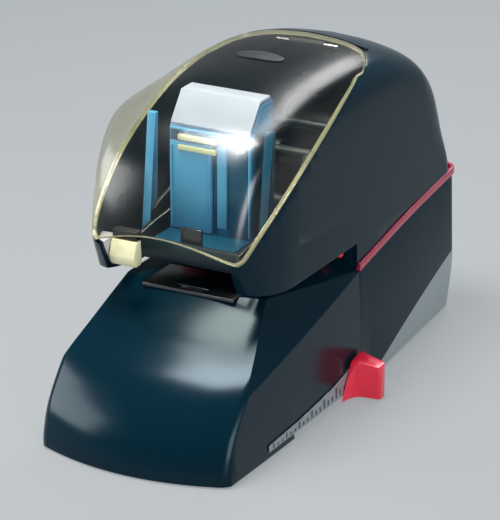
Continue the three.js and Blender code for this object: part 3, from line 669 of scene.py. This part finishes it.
def accent_band():
    """The red strip on the parting line, swept round the rear with rounded edges."""
    start, level = 17.4, 85
    thick, round_by = 2.6, 0.7
    outer = [(x, y) for x, y in plan_outline(level, -BAND_PROUD) if y > start]
    half = base_half(start, level) + BAND_PROUD
    path = [(half, start), *outer, (-half, start)]
    rings = []
    for i, (x, y) in enumerate(path):
        before, after = path[max(i - 1, 0)], path[min(i + 1, len(path) - 1)]
        along = Vector((after[0] - before[0], after[1] - before[1])).normalized()
        inward = Vector((-along.y, along.x))
        low = parting_z(y) + 0.1
        ring = []
        for corner, (a, b) in enumerate(((0, 0), (1, 0), (1, 1), (0, 1))):
            depth = (round_by, thick - round_by)[a]
            height = (round_by, BAND_HEIGHT - round_by)[b]
            for step in range(4):
                angle = math.pi * (1 + corner / 2 + step / 6)
                d = depth + round_by * math.cos(angle)
                h = height + round_by * math.sin(angle)
                ring.append((x + inward.x * d, y + inward.y * d, low + h))
        rings.append(ring)
    return soften(closed_loft("band", rings), 40)


# ---------------------------------------------------------------- finishes
def node_material(name, color, roughness, metal=0.0, grain=0.0, grain_scale=900.0, wear=0.06, **extra):
    """A principled finish whose roughness, tone and surface vary with fine noise."""
    material = bpy.data.materials.new(name)
    material.use_nodes = True
    tree = material.node_tree
    shader = tree.nodes["Principled BSDF"]
    place = tree.nodes.new("ShaderNodeTexCoord")
    cloud = tree.nodes.new("ShaderNodeTexNoise")
    cloud.inputs["Scale"].default_value = 28
    cloud.inputs["Detail"].default_value = 5
    tree.links.new(place.outputs["Object"], cloud.inputs["Vector"])
    tone = tree.nodes.new("ShaderNodeValToRGB")
    tone.color_ramp.elements[0].position = 0.3
    tone.color_ramp.elements[1].position = 0.7
    tone.color_ramp.elements[0].color = (*[c * (1 - wear) for c in color], 1)
    tone.color_ramp.elements[1].color = (*[min(c * (1 + wear), 1) for c in color], 1)
    tree.links.new(cloud.outputs["Fac"], tone.inputs["Fac"])
    tree.links.new(tone.outputs["Color"], shader.inputs["Base Color"])
    spread = tree.nodes.new("ShaderNodeMapRange")
    spread.inputs["To Min"].default_value = roughness * 0.88
    spread.inputs["To Max"].default_value = min(roughness * 1.14, 1)
    tree.links.new(cloud.outputs["Fac"], spread.inputs["Value"])
    tree.links.new(spread.outputs["Result"], shader.inputs["Roughness"])
    shader.inputs["Metallic"].default_value = metal
    if grain:
        fine = tree.nodes.new("ShaderNodeTexNoise")
        fine.inputs["Scale"].default_value = grain_scale
        fine.inputs["Detail"].default_value = 3
        tree.links.new(place.outputs["Object"], fine.inputs["Vector"])
        bump = tree.nodes.new("ShaderNodeBump")
        bump.inputs["Strength"].default_value = grain
        bump.inputs["Distance"].default_value = 0.0002
        tree.links.new(fine.outputs["Fac"], bump.inputs["Height"])
        tree.links.new(bump.outputs["Normal"], shader.inputs["Normal"])
    for socket, value in extra.items():
        shader.inputs[socket.replace("_", " ")].default_value = value
    return material


def clear_material(name, tint, gloss_roughness, gloss=True):
    """Thin clear plastic: tinted see-through, with a soft reflection that grows at grazing angles."""
    material = bpy.data.materials.new(name)
    material.use_nodes = True
    tree = material.node_tree
    shader = tree.nodes["Principled BSDF"]
    output = tree.nodes["Material Output"]
    through = tree.nodes.new("ShaderNodeBsdfTransparent")
    place = tree.nodes.new("ShaderNodeTexCoord")
    cloud = tree.nodes.new("ShaderNodeTexNoise")
    cloud.inputs["Scale"].default_value = 20
    tree.links.new(place.outputs["Object"], cloud.inputs["Vector"])
    tone = tree.nodes.new("ShaderNodeValToRGB")
    tone.color_ramp.elements[0].color = (*[c * 0.985 for c in tint], 1)
    tone.color_ramp.elements[1].color = (*[min(c * 1.01, 1) for c in tint], 1)
    tree.links.new(cloud.outputs["Fac"], tone.inputs["Fac"])
    tree.links.new(tone.outputs["Color"], through.inputs["Color"])
    if not gloss:
        tree.links.new(through.outputs["BSDF"], output.inputs["Surface"])
        return material
    shader.inputs["Base Color"].default_value = (0.9, 0.9, 0.9, 1)
    shader.inputs["Metallic"].default_value = 1.0
    spread = tree.nodes.new("ShaderNodeMapRange")
    spread.inputs["To Min"].default_value = gloss_roughness * 0.8
    spread.inputs["To Max"].default_value = gloss_roughness * 1.2
    tree.links.new(cloud.outputs["Fac"], spread.inputs["Value"])
    tree.links.new(spread.outputs["Result"], shader.inputs["Roughness"])
    facing = tree.nodes.new("ShaderNodeLayerWeight")
    curve = tree.nodes.new("ShaderNodeMath")
    curve.operation = "POWER"
    curve.inputs[1].default_value = CLEAR_CURVE
    tree.links.new(facing.outputs["Facing"], curve.inputs[0])
    share = tree.nodes.new("ShaderNodeMapRange")
    share.inputs["To Min"].default_value = CLEAR_MIX[0]
    share.inputs["To Max"].default_value = CLEAR_MIX[1]
    tree.links.new(curve.outputs["Value"], share.inputs["Value"])
    mix = tree.nodes.new("ShaderNodeMixShader")
    tree.links.new(share.outputs["Result"], mix.inputs["Fac"])
    tree.links.new(through.outputs["BSDF"], mix.inputs[1])
    tree.links.new(shader.outputs["BSDF"], mix.inputs[2])
    tree.links.new(mix.outputs["Shader"], output.inputs["Surface"])
    return material


CLEAR_MIX = (0.045, 0.50)  # share of light reflected, face on and at grazing angles
CLEAR_CURVE = 4.0  # how late the reflection grows towards grazing
CLEAR_TINT = (0.90, 0.885, 0.80)
TEAL = (0.74, 0.91, 1.0, 1)  # cast of the reflections in the black plastic

FINISHES = {
    "inside": node_material("black_inside", (0.002, 0.010, 0.015), 0.6, grain=0.2, grain_scale=1500),
    "black": node_material(
        "black_gloss",
        (0.0006, 0.0115, 0.0205),
        0.21,
        grain=0.02,
        grain_scale=1500,
        IOR=1.27,
        Specular_Tint=TEAL,
    ),
    # Light grey painted on the black undercut facets as the floor's reflection in them.
    "facet": node_material("black_facet_painted_reflection", (0.255, 0.295, 0.30), 0.3, grain=0.05),
    # Deep blue on the cassette's grooves, nose and right rail, painted as shade.
    "deepBlue": node_material("cassette_deep_blue_and_shade", (0.006, 0.075, 0.16), 0.25, grain=0.03),
    "paleBar": node_material("pale_yellow_bar", (0.62, 0.66, 0.42), 0.4, grain=0.05),
    "bandRed": node_material("band_red", (0.40, 0.018, 0.055), 0.25, grain=0.02, Coat_Weight=0.3),
    "tick": node_material("scale_print", (0.03, 0.03, 0.04), 0.6, grain=0.05),
    # Dark steel painted as shade, for steel pieces in the throat and under the head.
    "steelInShade": node_material("steel_painted_shade", (0.10, 0.105, 0.11), 0.3, 1.0, grain=0.1),
    "darkBlack": node_material("black_matt", (0.004, 0.006, 0.008), 0.55, grain=0.25, grain_scale=1800),
    "smoke": clear_material("clear_smoke", CLEAR_TINT, 0.24),
    "smokeInside": clear_material("clear_smoke_inside", (0.97, 0.965, 0.94), 0.08, gloss=False),
    # Opaque cream on the clear cover's edges: a painted highlight of light caught in the clear edge.
    "smokeEdgeHighlight": node_material("clear_edge_painted_highlight", (0.24, 0.235, 0.145), 0.2, grain=0.03),
    "red": node_material("red_gloss", (0.74, 0.014, 0.045), 0.22, grain=0.02, Coat_Weight=0.4),
    "blue": node_material("cassette_blue", (0.014, 0.20, 0.46), 0.22, grain=0.03),
    "paleBlue": node_material("cassette_light_blue", (0.095, 0.37, 0.70), 0.25, grain=0.03),
    "ivory": node_material("ivory", (0.80, 0.76, 0.48), 0.4, grain=0.1),
    "paleGrey": node_material("light_grey", (0.50, 0.49, 0.52), 0.4, grain=0.1),
    "white": node_material("label", (0.43, 0.49, 0.66), 0.5, grain=0.05, wear=0.02),
    "steel": node_material("zinc_steel", (0.50, 0.51, 0.53), 0.32, 1.0, grain=0.08),
    "darkSteel": node_material("coated_steel", (0.004, 0.016, 0.022), 0.45, grain=0.15),
    "brass": node_material("brass", (0.60, 0.38, 0.12), 0.28, 1.0, grain=0.06),
    "gearPlastic": node_material("acetal", (0.70, 0.68, 0.60), 0.42, grain=0.1),
    "copper": node_material("copper_wire", (0.42, 0.13, 0.04), 0.4, 0.7, grain=0.4, grain_scale=600),
    "board": node_material("circuit_green", (0.012, 0.10, 0.04), 0.4, grain=0.3, grain_scale=500),
    "rubber": node_material("rubber", (0.010, 0.010, 0.010), 0.85, grain=0.5, grain_scale=1200),
    "scale": node_material("silver_foil", (0.33, 0.36, 0.38), 0.3, 0.55, grain=0.04),
}
slot_of = {part["node"]: part["material_slot"] for part in frame["record"]["subparts"]}
body_with = {}
for body_name, nodes in frame["record"]["behaviour"]["bodies"].items():
    body_with.update({node: body_name for node in nodes})


def finish(obj, *looks):
    """Fills the material slots in turn, the last finish serving for the rest of the slots."""
    slots = obj.data.materials
    for _ in range(max(len(looks) - len(slots), 0)):
        slots.append(None)
    for i in range(len(slots)):
        slots[i] = FINISHES[looks[min(i, len(looks) - 1)]]


def show(obj, name, node, *looks):
    """Names a piece, gives it its finishes and body, and lets it stand for its CAD node."""
    obj.name = name
    finish(obj, *(looks or [slot_of[node]]))
    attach(obj, body_with[node])
    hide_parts(node)
    return obj


show(rear_shell(), "head_shell", "rear_shell", "black", "inside", "black")
# The clear cover's rim and its edge strip are painted cream as a highlight.
show(front_cover(), "clear_cover", "front_cover", "smoke", "smokeInside", "smokeEdgeHighlight")
show(cover_edge(), "cover_edge", "front_cover", "smokeEdgeHighlight")
# The last slot, the undercut facets, is painted light grey as the floor's reflection.
show(base_housing(), "base_shell", "base_housing", "black", "black", "black", "facet")
show(accent_band(), "red_band", "accent_band", "bandRed")


# ---------------------------------------------------------------- trim on the cassette and the scale
def slab(x, y, z, radius=0.6):
    """A small moulded block with rounded edges, given by its extent along each axis."""
    obj = block("slab", (x[0], y[0], z[0]), (x[1], y[1], z[1]), OUTSIDE)
    edge = obj.modifiers.new("edge", "BEVEL")
    edge.width = radius * MM
    edge.segments = 3
    return frozen(obj)


def add_trim(name, node, look, pieces):
    """Adds a piece made of several slabs that rides with a CAD node's body."""
    obj = soften(join(name, *pieces), 50)
    obj.name = name
    finish(obj, look)
    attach(obj, body_with[node])


def cassette_trim():
    """Ribs, dark strips painted as the shade in grooves, and two pale yellowish bars on the front of the
    staple cassette.
    """
    body_low, body_high = in_mm("cassette_body")
    panel_low, panel_high = in_mm("cassette_panel")
    left, right = panel_low.x, panel_high.x
    front = body_low.y
    face = front - 0.3  # just ahead of the body, so that the trim doesn't share its surface
    side = body_high.x
    foot = panel_low.z
    head = panel_high.z
    rib = right + 3.4
    edge_y = (panel_low.y - 0.9, panel_low.y + 0.6)
    ribs = [
        slab((rib, rib + 6.2), (front - 2.0, face), (foot + 4, head)),
        slab((side - 1.8, side - 0.2), (front - 1.6, face), (foot + 1, head + 6)),
        slab((left, side - 0.4), (front - 2.4, face), (head + 6.6, head + 8.2)),
        slab((left + 0.2, left + 1.6), edge_y, (foot, head - 2)),
        slab((right - 1.6, right - 0.2), edge_y, (foot, head - 2)),
    ]
    # Dark slabs a little proud of the face, painted as the shade inside the grooves.
    groove_shades = [
        slab((right + 0.5, rib - 0.4), (front - 0.8, face), (foot, head + 6), 0.2),
        slab((rib + 6.6, side - 2.2), (front - 0.9, face), (foot, head + 6), 0.25),
        slab((left + 0.2, -20.5), (front - 1.2, face), (head + 0.4, head + 6.2), 0.3),
        slab((side + 0.3, side + 1.1), (front + 1, body_high.y - 1), (body_low.z + 1, head + 8), 0.3),
    ]
    # Two pale yellowish bars across the cassette's front, below the label.
    bars = []
    for low in (head - 4.6, head + 1.4):
        bars.append(slab((-19.5, 4.6), (panel_low.y - 1.1, face), (low, low + 3.1), 0.5))
    add_trim("cassette_ribs", "cassette_panel", "paleBlue", ribs)
    add_trim("cassette_groove_shades", "cassette_body", "deepBlue", groove_shades)
    add_trim("cassette_pale_bars", "cassette_panel", "paleBar", bars)


SCALE_TOP = np.array([(-96, 8.6), (-60, 10.4), (-20, 14), (18, 21)])  # upper edge, as (y, z)
TICK_STEP = 5
LONG_TICK_EVERY = 3
LONG_TICK, SHORT_TICK, TICK_FOOT = 0.66, 0.34, 0.16  # as shares of the scale's height


def scale_ticks():
    """Printed ticks on the depth scale: one long tick every 15 mm and short ones between."""
    low, high = in_mm("depth_scale")
    proud = high.x - base_half(BASE_WIDEST_Y, low.z)
    ticks = []
    end_margin = 8
    count = int((high.y - low.y - end_margin) / TICK_STEP)
    for i in range(count + 1):
        y = low.y + TICK_STEP + TICK_STEP * i
        height = float(np.interp(y, SCALE_TOP[:, 0], SCALE_TOP[:, 1])) - low.z
        reach = height * (SHORT_TICK if i % LONG_TICK_EVERY else LONG_TICK)
        z = low.z + height * TICK_FOOT
        x = base_half(y, z) + proud
        ticks.append(slab((x - 0.15, x + 0.14), (y - 0.5, y + 0.5), (z, z + reach), 0.04))
    add_trim("scale_ticks", "depth_scale", "tick", ticks)


cassette_trim()
scale_ticks()


# ---------------------------------------------------------------- CAD pieces that stay in view
SHADE_DARKENED = {  # nodes given a darker colour than the rest of their slot, as painted shade in the head and the throat
    "clinch_plate": "steelInShade",
    "frame_spacer_front": "darkSteel",
    "frame_spacer_rear": "darkSteel",
    "frame_spacer_top": "darkSteel",
    "arm_pivot_shaft": "darkSteel",
    "cam_follower": "darkSteel",
    "driver_blade": "steelInShade",
    "cassette_nose": "deepBlue",
    "cassette_rail_right": "deepBlue",
    "drive_arm_right": "steelInShade",
    "drive_arm_left": "steelInShade",
}


def refine_cad_nodes():
    """Softens the edges of the CAD pieces that are shown as they are, and gives them finishes, darker
    ones as painted shade for the pieces in the shade list.
    """
    for name, obj in frame["nodes"].items():
        obj.data.materials.clear()
        obj.data.materials.append(FINISHES[SHADE_DARKENED.get(name, slot_of[name])])
        if obj.hide_render:
            continue
        low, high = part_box(name)
        thinnest = min(high - low)
        weld = obj.modifiers.new("weld", "WELD")
        weld.merge_threshold = 0.002 * MM
        edge = obj.modifiers.new("edge", "BEVEL")
        edge.width = min(0.5 * MM, thinnest * 0.12)
        edge.segments = 2
        edge.limit_method = "ANGLE"
        edge.angle_limit = math.radians(40)
        for face in obj.data.polygons:
            face.use_smooth = True
        obj.data.set_sharp_from_angle(angle=math.radians(35))


refine_cad_nodes()

# ---------------------------------------------------------------- studio
CAMERA_AZIMUTH = math.radians(28.4)
CAMERA_ELEVATION = math.radians(21.3)
CAMERA_DISTANCE = 1741.8
CAMERA_TARGET = Vector((0, -5.14, 76.21))
CAMERA_LENS = 209.1
PAPER = (0.12, 0.122, 0.125)
PAPER_GLOW = (0.285, 0.302, 0.313, 1)  # keeps the background an even grey from every side
SKY, SKY_STRENGTH = (0.16, 0.27, 0.33, 1), 0.8


def floor():
    """A pale floor that curves up into a wall far behind."""
    reach, rise, depth = 6000.0, 3500.0, 4500.0
    bend, bend_steps = 1500, 24
    profile = [(-reach, 0.0)]
    for step in range(bend_steps + 1):
        angle = math.pi / 2 * step / bend_steps
        profile.append((depth + bend * math.sin(angle), bend * (1 - math.cos(angle))))
    profile.append((depth + bend, rise))
    points = [(x, y, z) for x in (-reach, reach) for y, z in profile]
    count = len(profile)
    faces = [(i, i + 1, count + i + 1, count + i) for i in range(count - 1)]
    obj = mesh_of("studio_floor", points, faces)
    paper = node_material("studio_paper", PAPER, 0.9, wear=0.01)
    shader = paper.node_tree.nodes["Principled BSDF"]
    shader.inputs["Specular IOR Level"].default_value = 0.0
    shader.inputs["Emission Color"].default_value = PAPER_GLOW
    shader.inputs["Emission Strength"].default_value = 1.0
    obj.data.materials.append(paper)
    soften(obj, 60)


def softbox(name, direction, distance, size, power, along=(0, 0, 1), aim=(0, 0, 90)):
    """An area light that faces a point of the machine, its second side lying along a direction."""
    light = bpy.data.lights.new(name, "AREA")
    light.shape = "RECTANGLE"
    light.size, light.size_y = size[0] * MM, size[1] * MM
    light.energy = power
    obj = bpy.data.objects.new(name, light)
    bpy.context.scene.collection.objects.link(obj)
    target = ORIGIN + Vector(aim) * MM
    way = Vector(direction).normalized()
    side = Vector(along).cross(way).normalized()
    turn = Matrix((side, way.cross(side), way)).transposed()
    obj.matrix_world = Matrix.Translation(target + way * distance * MM) @ turn.to_4x4()


def studio():
    """The floor, a dim bluish surround and four soft boxes."""
    floor()
    world = bpy.data.worlds.new("studio")
    world.use_nodes = True
    background = world.node_tree.nodes["Background"]
    background.inputs["Color"].default_value = SKY
    background.inputs["Strength"].default_value = SKY_STRENGTH
    bpy.context.scene.world = world
    softbox("overhead", (-0.13, -0.20, 0.93), 900, (360, 330), 13.0)
    softbox("crown_strip", (-0.02, 0.55, 0.83), 1200, (330, 1250), 11.0, along=(0, 1, 0))
    softbox("front_fill", (0.9, -0.62, 0.16), 3200, (1100, 2600), 80)
    softbox("left_fill", (-0.82, -0.40, 0.28), 2200, (1500, 900), 36)


def camera():
    """A long lens from in front, to the right and a little above."""
    data = bpy.data.cameras.new("camera")
    data.lens = CAMERA_LENS
    data.sensor_width = 36
    data.clip_start, data.clip_end = 0.05, 30
    obj = bpy.data.objects.new("camera", data)
    bpy.context.scene.collection.objects.link(obj)
    level = math.cos(CAMERA_ELEVATION)
    across = math.sin(CAMERA_AZIMUTH) * level
    ahead = math.cos(CAMERA_AZIMUTH) * level
    back = Vector((across, -ahead, math.sin(CAMERA_ELEVATION)))
    obj.location = ORIGIN + (CAMERA_TARGET + back * CAMERA_DISTANCE) * MM
    obj.rotation_mode = "QUATERNION"
    obj.rotation_quaternion = back.to_track_quat("Z", "Y")
    bpy.context.scene.camera = obj


studio()
camera()
bpy.context.scene.view_settings.view_transform = "Standard"
